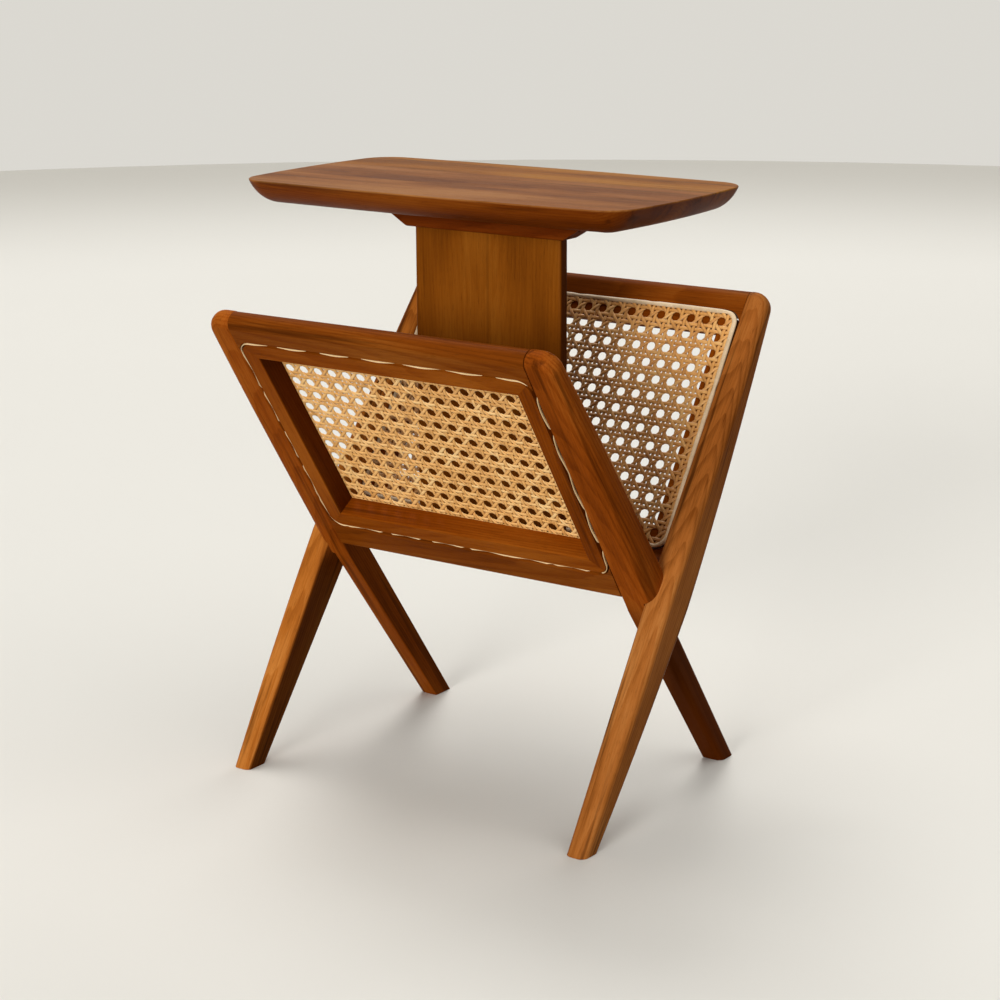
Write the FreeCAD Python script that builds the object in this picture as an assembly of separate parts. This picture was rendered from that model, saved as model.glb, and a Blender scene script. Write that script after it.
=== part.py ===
import FreeCAD, Part
import math
import os
from FreeCAD import Vector

# Side table with a magazine rack, in millimetres.
# X runs along the table, +Y to the back, +Z up. The origin is on the floor, under the middle.
# The rack is two leaning frames that cross like an X. The rear frame's stiles run down to the
# front feet, the front frame's stiles run down to the rear feet.

# Driving dimensions of the whole table
overall_height = 550.0
crossing_height = 193.0
lean_angle = 35.0

# Tabletop
top_length = 418.0
top_width = 226.0
top_thickness = 22.0
top_corner_radius = 32.0
top_long_side_bow = 5.0
top_short_side_bow = 8.0
top_under_rise = 38.0
top_under_run = 33.0
top_edge_ease = 1.0
plank_share = 1.0 / 3.0
plank_dowel_diameter = 6.0
plank_dowel_length = 30.0
plank_dowel_spacing = 140.0

# Batten and centre board
board_width = 159.0
board_thickness = 12.0
board_edge_radius = 2.5
batten_thickness = 23.0
batten_width = 24.0
batten_overhang = 5.0
batten_slope_run = 38.0
batten_edge_radius = 2.0
board_housing = 8.0
screw_diameter = 4.0
screw_head_diameter = 8.0
screw_head_height = 3.0
screw_cover = 9.0
screw_inset = 20.0
screw_pitch = 12.0
screw_seat_depth = 8.0
board_dowel_diameter = 8.0
board_dowel_length = 44.0
board_dowel_spacing = 56.0

# Long members of the two frames: stile above the crossing, leg below it
frame_length = 406.0
rear_leg_width = 25.0
front_leg_width = 21.0
front_shoulder = 11.0
rear_shoulder = 4.0
stile_length = 303.0
crossing_depth = 38.0
stile_top_depth = 20.0
foot_depth = 20.0
rear_leg_start_depth = 27.0
rear_top_taper = 9.0
front_top_taper = 5.0
stile_corner_radius = 17.0
stile_edge_radius = 9.5
opening_edge_radius = 2.0
crossing_opening_radius = 11.0
crossing_edge_radius = 15.0
leg_edge_radius = 6.0
edge_ease = 1.5
crossing_dowel_diameter = 10.0
crossing_dowel_length = 34.0

# Rails
top_rail_height = 23.0
bottom_rail_start = 18.0
bottom_rail_height = 26.0
bottom_rail_depth = 20.0
bearing_height = 22.0
frame_dowel_diameter = 6.0
frame_dowel_length = 34.0
frame_dowel_inset = 12.0
frame_dowel_pitch = 11.0
frame_dowel_offset = 10.0

# Cane frames, cane and rattan trim
groove_width = 3.0
insert_width = 16.0
insert_depth = 21.0
insert_corner_radius = 12.0
rail_ear_share = 2.0 / 3.0
cane_thickness = 1.2
cane_pitch = 16.0
cane_hole_diameter = 7.5
cane_border = 9.0
spline_tongue = 10.0
spline_cap_width = 6.0
spline_cap_thickness = 1.8
reed_thickness = 1.6
reed_depth = 3.0
reed_setback = 1.0
pin_diameter = 2.5
pin_length = 25.0
pin_offset = 6.0

# Fits
fit_clearance = 0.1
end_clearance = 0.5
overrun = 5.0

# Places that follow from the driving dimensions
lean = math.radians(lean_angle)
panel_tilt = lean - math.atan((crossing_depth - stile_top_depth) / 2 / stile_length)
axis_up = (math.sin(lean), math.cos(lean))
axis_inward = (-math.cos(lean), math.sin(lean))
outer_face_start = (-axis_inward[0] * crossing_depth / 2,
                    crossing_height - axis_inward[1] * crossing_depth / 2)
pocket_corner_radius = insert_corner_radius + groove_width
rail_ear_height = pocket_corner_radius * rail_ear_share
frame_half = frame_length / 2
lap_plane = frame_half - rear_leg_width
rear_inner = lap_plane - rear_shoulder
front_inner = lap_plane - front_leg_width
front_outer = lap_plane + front_shoulder
insert_bottom = bottom_rail_start + bottom_rail_height + groove_width
insert_top = stile_length - top_rail_height - groove_width
batten_bottom = overall_height - top_thickness - batten_thickness
board_half = board_thickness / 2
insert_height = insert_top - insert_bottom
top_edge_draw = top_under_run * (1 - math.sqrt(1 - (1 - top_thickness / top_under_rise) ** 2))


def panel_placement():
    """Local X, s and m of the rear panel: along the table, up the outer face, towards the V side."""
    turn = FreeCAD.Rotation(Vector(1, 0, 0), 90 - math.degrees(panel_tilt))
    return FreeCAD.Placement(Vector(0, outer_face_start[0], outer_face_start[1]), turn)


def placed(shape):
    """A shape drawn in the rear panel's local frame, moved to its place."""
    copy = shape.copy()
    copy.Placement = panel_placement().multiply(copy.Placement)
    return copy


def panel_point(s, m):
    """Y and Z of a point of the rear panel at height s and depth m."""
    point = panel_placement().multVec(Vector(0, s, m))
    return (point.y, point.z)


def mirror_y(shape):
    return shape.mirror(Vector(0, 0, 0), Vector(0, 1, 0))


def mirror_x(shape):
    return shape.mirror(Vector(0, 0, 0), Vector(1, 0, 0))


def side_prism(points, x_from, x_to):
    """A prism along X on a polygon of Y and Z."""
    corners = [Vector(x_from, y, z) for y, z in points]
    face = Part.Face(Part.makePolygon(corners + corners[:1]))
    return face.extrude(Vector(x_to - x_from, 0, 0))


def box_between(low, high):
    size = [high[i] - low[i] for i in range(3)]
    return Part.makeBox(size[0], size[1], size[2], Vector(*low))


def rounded_outline(half_width, low, high, radius, m):
    """Wire of a rectangle with round corners, in the panel's local frame at depth m."""
    plate = box_between((-half_width, low, m), (half_width, high, m + overrun))
    uprights = [e for e in plate.Edges if e.BoundBox.ZLength > overrun / 2]
    plate = plate.makeFillet(radius, uprights)
    floor = [f for f in plate.Faces if f.BoundBox.ZMax < m + overrun / 2]
    return floor[0].OuterWire


def rounded_plate(half_width, low, high, radius, m_from, m_to):
    face = Part.Face(rounded_outline(half_width, low, high, radius, m_from))
    return face.extrude(Vector(0, 0, m_to - m_from))


def peg(start, direction, length, diameter):
    return Part.makeCylinder(diameter / 2, length, start, direction)


def peg_hole(start, direction, length, diameter):
    """The hole for a peg: a little wider, and a little deeper at both ends."""
    room = Vector(direction).multiply(end_clearance)
    return peg(start - room, direction, length + 2 * end_clearance, diameter + 2 * fit_clearance)


def cut_all(shape, tools):
    for tool in tools:
        shape = shape.cut(tool)
    return shape


def single_solid(shape):
    return shape.removeSplitter().Solids[0]


# Long members
def member_profile():
    """Side outline of a rear-frame member: back edge from foot to top, then V edge from top to foot."""
    foot_middle = -crossing_height * math.tan(lean)
    foot_half = foot_depth / 2 / math.cos(lean)
    crossing_v = (-outer_face_start[0], 2 * crossing_height - outer_face_start[1])
    return [(foot_middle + foot_half, 0.0), outer_face_start, panel_point(stile_length, 0.0),
            panel_point(stile_length, stile_top_depth), crossing_v, (foot_middle - foot_half, 0.0)]


def front_profile():
    """Side outline of a front-frame member, drawn as a rear frame: its leg starts thinner on the V side."""
    inward = rear_leg_start_depth - crossing_depth / 2
    leg_v = (axis_inward[0] * inward, crossing_height + axis_inward[1] * inward)
    return member_profile()[:5] + [leg_v] + member_profile()[5:]


def below_other_frame(profile, x_from, x_to):
    """Everything under the V faces of the other frame, over a width in X."""
    v_side = [(-y, z) for y, z in profile[3:]]
    reach = v_side[0][0] - frame_length
    outline = v_side + [(v_side[-1][0], -overrun), (reach, -overrun), (reach, v_side[0][1])]
    return side_prism(outline, x_from, x_to)


def bowed_side(x_outer, taper):
    """A wide cylinder: its side bows in from the crossing, by the taper at the top of the stile."""
    radius = (stile_length ** 2 + taper ** 2) / 2 / taper
    across = Vector(0, axis_inward[0], axis_inward[1])
    middle = Vector(x_outer - radius, 0, crossing_height)
    return Part.makeCylinder(radius, 2 * crossing_depth, middle - across * crossing_depth, across)


def long_edge(shape, x, point):
    """The edge that passes nearest to a point."""
    target = Part.Vertex(Vector(x, point[0], point[1]))
    return min(shape.Edges, key=lambda e: e.distToShape(target)[0])


def middle_of(a, b):
    return ((a[0] + b[0]) / 2, (a[1] + b[1]) / 2)


def along_x(shape, length):
    """The edges that run along X for more than a length."""
    return [e for e in shape.Edges if e.BoundBox.XLength > length]


def with_round_corner(member, x_top):
    """The upper outer corner rounded, seen square to the panel."""
    corner = long_edge(member, x_top, panel_point(stile_length, stile_top_depth / 2))
    return member.makeFillet(stile_corner_radius, [corner])


def with_round_edges(member, x_half_way, x_inner, low_radius):
    """Both outer edges rounded, from a radius at the lower end to the stile's radius at the top.

    The edge beside the cane, on the V side, is rounded more and more towards the crossing.
    """
    half_way = stile_length / 2
    depth_there = (crossing_depth + stile_top_depth) / 2
    back_edge = long_edge(member, x_half_way, panel_point(half_way, 0.0))
    member = member.makeFillet(low_radius, stile_edge_radius, [back_edge])
    v_edge = long_edge(member, x_half_way, panel_point(half_way, depth_there))
    member = member.makeFillet(stile_edge_radius, low_radius, [v_edge])
    cane_edge = long_edge(member, x_inner, panel_point(half_way, depth_there))
    return member.makeFillet(opening_edge_radius, crossing_opening_radius, [cane_edge])


def rear_frame_right_leg():
    """Stile and front leg in one. Its inner shoulder ends on the V face of the front frame."""
    foot_back, crossing_back, top_back, top_v, crossing_v, foot_v = member_profile()
    member = side_prism(member_profile(), rear_inner, frame_half)
    member = member.common(bowed_side(frame_half, rear_top_taper))
    member = with_round_corner(member, frame_half - rear_top_taper)
    member = with_round_edges(member, frame_half - rear_top_taper / 4, rear_inner, leg_edge_radius)
    member = single_solid(member.cut(below_other_frame(front_profile(), rear_inner - overrun, lap_plane)))
    middles = (middle_of(foot_back, crossing_back), middle_of(foot_v, crossing_v))
    return member.makeFillet(edge_ease, [long_edge(member, lap_plane, middle) for middle in middles])


def front_frame_right_leg():
    """Stile and rear leg in one, drawn as a rear frame. Its shoulder ends on the other frame's V face."""
    foot_back, crossing_back, top_back, top_v, crossing_v, leg_v, foot_v = front_profile()
    stile = side_prism([crossing_back, top_back, top_v, crossing_v], front_inner, front_outer)
    stile = stile.common(bowed_side(front_outer, front_top_taper))
    stile = with_round_corner(stile, front_outer - front_top_taper)
    stile = with_round_edges(stile, front_outer - front_top_taper / 4, front_inner, crossing_edge_radius)
    stile = stile.cut(below_other_frame(member_profile(), lap_plane, front_outer + overrun))
    leg = side_prism([foot_back, crossing_back, leg_v, foot_v], front_inner, lap_plane)
    middles = (middle_of(foot_back, crossing_back), middle_of(foot_v, leg_v))
    for x, radius in ((lap_plane, leg_edge_radius), (front_inner, edge_ease)):
        leg = leg.makeFillet(radius, [long_edge(leg, x, middle) for middle in middles])
    return single_solid(stile.fuse(leg))


# One leaning frame, drawn at the rear
def rail_dowels(half_span):
    """Start points and directions of the dowels at both ends of both rails, in the panel's frame."""
    top_middle = stile_length - top_rail_height / 2
    bottom_middle = bottom_rail_start + bottom_rail_height / 2
    found = []
    for middle in (bottom_middle, top_middle):
        for side in (-1, 1):
            for step in (-1, 1):
                height = middle + step * frame_dowel_pitch / 2
                inner_end = half_span + frame_dowel_inset - frame_dowel_length
                start = Vector(side * inner_end, height, frame_dowel_offset)
                found.append((start, Vector(side, 0, 0)))
    return found


def insert_pins(half_width):
    """Start points and directions of the pins between a cane frame and its outer frame."""
    inside = (pin_length - groove_width) / 2
    middle = (insert_bottom + insert_top) / 2
    found = []
    for side in (-1, 1):
        for step in (-1, 1):
            height = middle + step * insert_height / 4
            start = Vector(side * (half_width - inside), height, pin_offset)
            found.append((start, Vector(side, 0, 0)))
            along = step * half_width / 2
            edge = insert_top - inside if side > 0 else insert_bottom + inside
            found.append((Vector(along, edge, pin_offset), Vector(0, side, 0)))
    return found


def pegs_of(places, length, diameter, maker):
    return [maker(start, direction, length, diameter) for start, direction in places]


def frame_pocket(half_span):
    """The room for the cane frame and its groove, with round corners."""
    return rounded_plate(half_span, insert_bottom - groove_width, insert_top + groove_width,
                         pocket_corner_radius, -overrun, stile_top_depth + overrun)


def top_rail(half_span):
    """Round on top. Its ends run down into the pocket's round corners."""
    low = stile_length - top_rail_height - rail_ear_height
    rail = box_between((-half_span, low, 0.0), (half_span, stile_length, stile_top_depth))
    rail = rail.cut(frame_pocket(half_span))
    upper = [e for e in along_x(rail, half_span) if abs(e.CenterOfMass.y - stile_length) < fit_clearance]
    return rail.makeFillet(stile_edge_radius, upper)


def bottom_rail(half_span):
    """Flat underneath, with an upright inner face that bears on the centre board."""
    rail_top = bottom_rail_start + bottom_rail_height
    low_outer = panel_point(bottom_rail_start, 0.0)
    outline = [low_outer, (board_half, low_outer[1]), (board_half, low_outer[1] + bearing_height),
               panel_point(rail_top, bottom_rail_depth), panel_point(rail_top, 0.0)]
    rail = side_prism(outline, -half_span, half_span)
    rail = rail.makeFillet(edge_ease, along_x(rail, half_span))
    ears = box_between((-half_span, rail_top - overrun, 0.0),
                       (half_span, rail_top + rail_ear_height, bottom_rail_depth))
    ears = ears.cut(frame_pocket(half_span))
    gap = box_between((pocket_corner_radius - half_span, -overrun, -overrun),
                      (half_span - pocket_corner_radius, stile_length, stile_length))
    return single_solid(rail.fuse(placed(ears.cut(gap))))


def insert_pieces(half_width):
    """Four mitred pieces with the frame's outer corners rounded off."""
    low, high = insert_bottom, insert_top
    inner_half, inner_low, inner_high = half_width - insert_width, low + insert_width, high - insert_width
    outer = {"bottom left": (-half_width, low), "bottom right": (half_width, low),
             "top right": (half_width, high), "top left": (-half_width, high)}
    inner = {"bottom left": (-inner_half, inner_low), "bottom right": (inner_half, inner_low),
             "top right": (inner_half, inner_high), "top left": (-inner_half, inner_high)}
    outline = rounded_plate(half_width, low, high, insert_corner_radius, 0.0, insert_depth)
    pieces = {}
    for side in ("top", "bottom", "left", "right"):
        first, last = [corner for corner in outer if side in corner]
        points = [Vector(x, s, 0) for x, s in (outer[first], outer[last], inner[last], inner[first])]
        prism = Part.Face(Part.makePolygon(points + points[:1])).extrude(Vector(0, 0, insert_depth))
        middle = middle_of(inner[first], inner[last])
        target = Part.Vertex(Vector(middle[0], middle[1], 0))
        opening_edge = min(prism.Edges, key=lambda e: e.distToShape(target)[0])
        pieces[side] = prism.makeFillet(edge_ease, [opening_edge]).common(outline)
    return pieces


def cane_web(half_width):
    """One thin sheet with a grid of round holes, centred on the cane frame."""
    middle = (insert_bottom + insert_top) / 2
    columns = int((2 * half_width - 2 * cane_border) / cane_pitch)
    rows = int((insert_height - 2 * cane_border) / cane_pitch)
    outer = rounded_outline(half_width, insert_bottom, insert_top, insert_corner_radius, insert_depth)
    wires = [outer]
    for row in range(rows):
        for column in range(columns):
            x = (column - (columns - 1) / 2) * cane_pitch
            s = middle + (row - (rows - 1) / 2) * cane_pitch
            circle = Part.Circle(Vector(x, s, insert_depth), Vector(0, 0, 1), cane_hole_diameter / 2)
            wires.append(Part.Wire(circle.toShape()))
    face = Part.Face(wires, "Part::FaceMakerBullseye")
    return face.extrude(Vector(0, 0, cane_thickness))


def groove_ring(half_width, outer_step, inner_step, m_from, m_to):
    """A band round the cane frame, from outer_step outside its edge to inner_step outside it."""
    rings = []
    for step in (outer_step, inner_step):
        rings.append(rounded_plate(half_width + step, insert_bottom - step, insert_top + step,
                                   insert_corner_radius + step, m_from, m_to))
    return rings[0].cut(rings[1])


def cane_spline(half_width):
    """Binder over the cane's edge with a tongue in the groove."""
    cane_face = insert_depth + cane_thickness
    tongue = groove_ring(half_width, groove_width, 0.0, insert_depth - spline_tongue, cane_face)
    cap = groove_ring(half_width, groove_width, groove_width - spline_cap_width, cane_face,
                      cane_face + spline_cap_thickness)
    return single_solid(tongue.fuse(cap))


def groove_reed(half_width):
    """Thin reed that shows in the groove on the outer side."""
    return groove_ring(half_width, reed_thickness, 0.0, reed_setback, reed_setback + reed_depth)


def leaning_frame(name, half_span, right_leg):
    """All nodes of one frame, drawn at the rear."""
    half_width = half_span - groove_width
    dowels = rail_dowels(half_span)
    pins = insert_pins(half_width)
    dowel_holes = [placed(h) for h in pegs_of(dowels, frame_dowel_length, frame_dowel_diameter, peg_hole)]
    pin_holes = [placed(h) for h in pegs_of(pins, pin_length, pin_diameter, peg_hole)]
    holes = dowel_holes + pin_holes
    nodes = {
        name + "_frame_right_leg": cut_all(right_leg, holes),
        name + "_frame_left_leg": cut_all(mirror_x(right_leg), holes),
        name + "_top_rail": cut_all(placed(top_rail(half_span)), holes),
        name + "_bottom_rail": cut_all(bottom_rail(half_span), holes),
        name + "_cane_web": placed(cane_web(half_width)),
        name + "_cane_spline": placed(cane_spline(half_width)),
        name + "_groove_reed": placed(groove_reed(half_width)),
    }
    for side, piece in insert_pieces(half_width).items():
        nodes[name + "_insert_" + side] = cut_all(placed(piece), pin_holes)
    dowel_solids = pegs_of(dowels, frame_dowel_length, frame_dowel_diameter, peg)
    pin_solids = pegs_of(pins, pin_length, pin_diameter, peg)
    nodes[name + "_frame_dowels"] = Part.makeCompound([placed(s) for s in dowel_solids])
    nodes[name + "_insert_pins"] = Part.makeCompound([placed(s) for s in pin_solids])
    return nodes


# Dowels that join the two frames and the centre board
def crossing_dowels():
    start = lap_plane - crossing_dowel_length / 2
    return [(Vector(side * start, 0, crossing_height), Vector(side, 0, 0)) for side in (-1, 1)]


def board_dowels():
    height = panel_point(bottom_rail_start, 0.0)[1] + bearing_height / 2
    return [(Vector(step * board_dowel_spacing, -board_dowel_length / 2, height), Vector(0, 1, 0))
            for step in (-1, 0, 1)]


# Tabletop, batten and centre board
def top_blank():
    """Bowed rectangle with round corners, a crisp upper edge and a side that curves in under it.

    The side is part of an ellipse whose widest level would lie above the top.
    """
    x, y = top_length / 2 + top_edge_draw, top_width / 2 + top_edge_draw
    corner_x, corner_y = x - top_short_side_bow, y - top_long_side_bow
    stretch = top_under_run / top_under_rise
    tall = (top_under_rise + overrun) * stretch
    corners = [(-corner_x, -corner_y), (corner_x, -corner_y), (corner_x, corner_y), (-corner_x, corner_y)]
    middles = [(0.0, -y), (x, 0.0), (0.0, y), (-x, 0.0)]
    sides = []
    for i, middle in enumerate(middles):
        ends = (corners[i], corners[(i + 1) % 4])
        points = [Vector(px, py, 0) for px, py in (ends[0], middle, ends[1])]
        sides.append(Part.Arc(*points).toShape())
    blank = Part.Face(Part.Wire(sides)).extrude(Vector(0, 0, tall))
    uprights = [e for e in blank.Edges if e.BoundBox.ZLength > tall / 2]
    blank = blank.makeFillet(top_corner_radius + top_edge_draw, uprights)
    under = [e for e in blank.Edges if abs(e.BoundBox.ZMax) < fit_clearance]
    blank = blank.makeFillet(top_under_run, under)
    squash = FreeCAD.Matrix()
    squash.scale(1, 1, 1 / stretch)
    blank = blank.transformGeometry(squash)
    blank.translate(Vector(0, 0, overall_height - top_thickness))
    room = box_between((-top_length, -top_width, 0.0), (top_length, top_width, overall_height))
    blank = blank.common(room)
    upper = [e for e in blank.Edges if abs(e.BoundBox.ZMin - overall_height) < fit_clearance]
    return blank.makeFillet(top_edge_ease, upper)


def plank_limits():
    """Y of the front edge, the two joints and the back edge of the planks."""
    plank_width = top_width * plank_share
    return [-top_width / 2 - overrun, top_width / 2 - 2 * plank_width, top_width / 2 - plank_width,
            top_width / 2 + overrun]


def plank_dowels():
    height = overall_height - top_thickness / 2
    return [(Vector(step * plank_dowel_spacing, joint - plank_dowel_length / 2, height), Vector(0, 1, 0))
            for joint in plank_limits()[1:3] for step in (-1, 0, 1)]


def batten_blank():
    low = batten_bottom
    high = overall_height - top_thickness
    half_low = board_width / 2 + batten_overhang
    half_high = half_low + batten_slope_run
    outline = [Vector(x, -batten_width / 2, z)
               for x, z in ((-half_low, low), (half_low, low), (half_high, high), (-half_high, high))]
    blank = Part.Face(Part.makePolygon(outline + outline[:1])).extrude(Vector(0, batten_width, 0))
    lower = [e for e in blank.Edges if abs(e.BoundBox.ZMax - low) < fit_clearance]
    blank = blank.makeFillet(batten_edge_radius, lower)
    slot_half = board_half + fit_clearance
    slot = box_between((-board_width / 2 - fit_clearance, -slot_half, low - overrun),
                       (board_width / 2 + fit_clearance, slot_half, low + board_housing))
    return blank.cut(slot)


def batten_screw_places():
    """Where the screws stand, and the height of the seat of their heads."""
    half_high = board_width / 2 + batten_overhang + batten_slope_run
    seat = overall_height - top_thickness - screw_seat_depth
    return [Vector(side * (half_high - screw_inset), step * screw_pitch / 2, seat)
            for side in (-1, 1) for step in (-1, 1)]


def batten_screw(place, radial_room, head_drop):
    """Head and shank, or with room to spare the hole for them."""
    reach = overall_height - screw_cover - place.z
    up = Vector(0, 0, 1)
    head_length = screw_head_height + head_drop
    head = peg(place - up * head_length, up, head_length, screw_head_diameter + 2 * radial_room)
    shank = peg(place, up, reach, screw_diameter + 2 * radial_room)
    return single_solid(head.fuse(shank))


def centre_board():
    low = panel_point(bottom_rail_start, 0.0)[1]
    high = batten_bottom + board_housing
    board = box_between((-board_width / 2, -board_half, low), (board_width / 2, board_half, high))
    uprights = [e for e in board.Edges if e.BoundBox.ZLength > board_width]
    return board.makeFillet(board_edge_radius, uprights)


def table_nodes():
    crossing = crossing_dowels()
    crossing_holes = pegs_of(crossing, crossing_dowel_length, crossing_dowel_diameter, peg_hole)
    through = board_dowels()
    board_holes = pegs_of(through, board_dowel_length, board_dowel_diameter, peg_hole)
    edge = plank_dowels()
    edge_holes = pegs_of(edge, plank_dowel_length, plank_dowel_diameter, peg_hole)
    screw_holes = [batten_screw(place, fit_clearance, batten_thickness) for place in batten_screw_places()]

    nodes = leaning_frame("rear", rear_inner, rear_frame_right_leg())
    front = leaning_frame("front", front_inner, front_frame_right_leg())
    nodes.update({name: mirror_y(shape) for name, shape in front.items()})
    for side in ("left", "right"):
        for frame in ("rear", "front"):
            leg = frame + "_frame_" + side + "_leg"
            nodes[leg] = cut_all(nodes[leg], crossing_holes)
    notch = mirror_y(side_prism(front_profile(), front_inner, lap_plane))
    nodes["rear_bottom_rail"] = cut_all(nodes["rear_bottom_rail"], [notch, mirror_x(notch)] + board_holes)
    nodes["front_bottom_rail"] = cut_all(nodes["front_bottom_rail"], board_holes)
    crossing_pegs = pegs_of(crossing, crossing_dowel_length, crossing_dowel_diameter, peg)
    nodes["crossing_dowels"] = Part.makeCompound(crossing_pegs)

    nodes["centre_board"] = cut_all(centre_board(), board_holes)
    board_pegs = pegs_of(through, board_dowel_length, board_dowel_diameter, peg)
    nodes["board_dowels"] = Part.makeCompound(board_pegs)
    nodes["top_batten"] = cut_all(batten_blank(), screw_holes)
    screws = [batten_screw(place, 0.0, 0.0) for place in batten_screw_places()]
    nodes["batten_screws"] = Part.makeCompound(screws)

    blank = cut_all(top_blank(), edge_holes + screw_holes)
    limits = plank_limits()
    for i, plank in enumerate(("front", "middle", "back")):
        low_corner = (-top_length, limits[i], 0.0)
        high_corner = (top_length, limits[i + 1], overall_height + overrun)
        nodes["top_plank_" + plank] = blank.common(box_between(low_corner, high_corner))
    plank_pegs = pegs_of(edge, plank_dowel_length, plank_dowel_diameter, peg)
    nodes["plank_dowels"] = Part.makeCompound(plank_pegs)
    return nodes


os.makedirs("parts", exist_ok=True)
for node_name, node_shape in sorted(table_nodes().items()):
    solids = node_shape.Solids
    if len(solids) == 1:
        node_shape = solids[0]
    node_shape.exportStep("parts/" + node_name + ".step")
    print(node_name, len(solids), node_shape.isValid(), round(node_shape.Volume))
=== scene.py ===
# %% [markdown]
# # Side table with a magazine rack
# The table is teak. Two leaning frames cross like an X and hold woven cane. A centre board stands in
# the V and carries the tabletop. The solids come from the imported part, so every wooden piece already
# has its place and its shape. This lesson gives the wood its grain, weaves the cane, lays the rattan
# trim and lights the whole.

import math
import random

import bmesh
import bpy
from mathutils import Matrix, Vector


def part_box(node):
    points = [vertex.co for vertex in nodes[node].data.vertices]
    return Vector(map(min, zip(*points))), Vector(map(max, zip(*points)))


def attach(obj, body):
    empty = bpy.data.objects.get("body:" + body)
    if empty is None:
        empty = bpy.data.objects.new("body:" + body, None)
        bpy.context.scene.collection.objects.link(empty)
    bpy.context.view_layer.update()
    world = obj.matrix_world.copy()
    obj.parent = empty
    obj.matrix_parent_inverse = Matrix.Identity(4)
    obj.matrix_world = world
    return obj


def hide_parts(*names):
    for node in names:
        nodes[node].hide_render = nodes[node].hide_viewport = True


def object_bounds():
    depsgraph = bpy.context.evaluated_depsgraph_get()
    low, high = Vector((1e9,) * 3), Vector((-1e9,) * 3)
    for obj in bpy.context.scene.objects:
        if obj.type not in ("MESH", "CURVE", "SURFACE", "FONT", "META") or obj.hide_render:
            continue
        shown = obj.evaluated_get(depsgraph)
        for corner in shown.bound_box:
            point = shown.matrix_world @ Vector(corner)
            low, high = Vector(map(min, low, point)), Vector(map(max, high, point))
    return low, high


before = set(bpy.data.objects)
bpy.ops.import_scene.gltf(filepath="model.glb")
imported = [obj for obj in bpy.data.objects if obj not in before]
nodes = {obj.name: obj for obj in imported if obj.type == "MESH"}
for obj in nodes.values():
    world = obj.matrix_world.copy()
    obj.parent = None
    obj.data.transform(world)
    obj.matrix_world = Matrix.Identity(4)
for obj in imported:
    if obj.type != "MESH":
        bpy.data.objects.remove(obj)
cad_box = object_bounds()
MM = 0.001
print("nodes", len(nodes), "box", [[round(v, 4) for v in corner] for corner in cad_box])

# %% [markdown]
# ## The camera
# The photograph looks down a little on the table from its front right. A camera can be placed by hand,
# or worked out from edges that are known in the solids. This one was worked out, so it is written as
# an azimuth, an elevation, a small roll and a distance from the middle of the table.

# %% Camera at the photograph's angle
AZIMUTH = math.radians(34.9)
ELEVATION = math.radians(14.8)
ROLL = math.radians(-0.3)
CAMERA_DISTANCE = 2.1746
CAMERA_SHIFT_RIGHT = 0.0077
CAMERA_SHIFT_UP = -0.0174
LENS = 85.24
SENSOR = 36.0


def aim_camera():
    """A camera that looks at the middle of the table; towards points from there to the camera."""
    towards = Vector((math.sin(AZIMUTH) * math.cos(ELEVATION),
                      -math.cos(AZIMUTH) * math.cos(ELEVATION), math.sin(ELEVATION)))
    right = Vector((math.cos(AZIMUTH), math.sin(AZIMUTH), 0))
    up = towards.cross(right)
    middle = Vector((0, 0, cad_box[1][2] / 2))
    eye = middle + towards * CAMERA_DISTANCE + right * CAMERA_SHIFT_RIGHT + up * CAMERA_SHIFT_UP
    rolled_right = right * math.cos(ROLL) + up * math.sin(ROLL)
    rolled_up = up * math.cos(ROLL) - right * math.sin(ROLL)
    place = Matrix((rolled_right, rolled_up, towards)).transposed().to_4x4()
    place.translation = eye
    camera = bpy.data.objects.new("camera", bpy.data.cameras.new("camera"))
    camera.data.lens = LENS
    camera.data.sensor_width = SENSOR
    camera.matrix_world = place
    bpy.context.scene.collection.objects.link(camera)
    bpy.context.scene.camera = camera
    return camera


camera = aim_camera()
print("camera at", [round(v, 3) for v in camera.matrix_world.translation])

# %% [markdown]
# ## Writing materials as sums
# A wood or cane finish is many small node sums. Placing each Math node by hand is slow and hard to
# read, so one small class wraps a socket: Python's own operators add the Math nodes, and one method
# adds every other kind of node.


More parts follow.
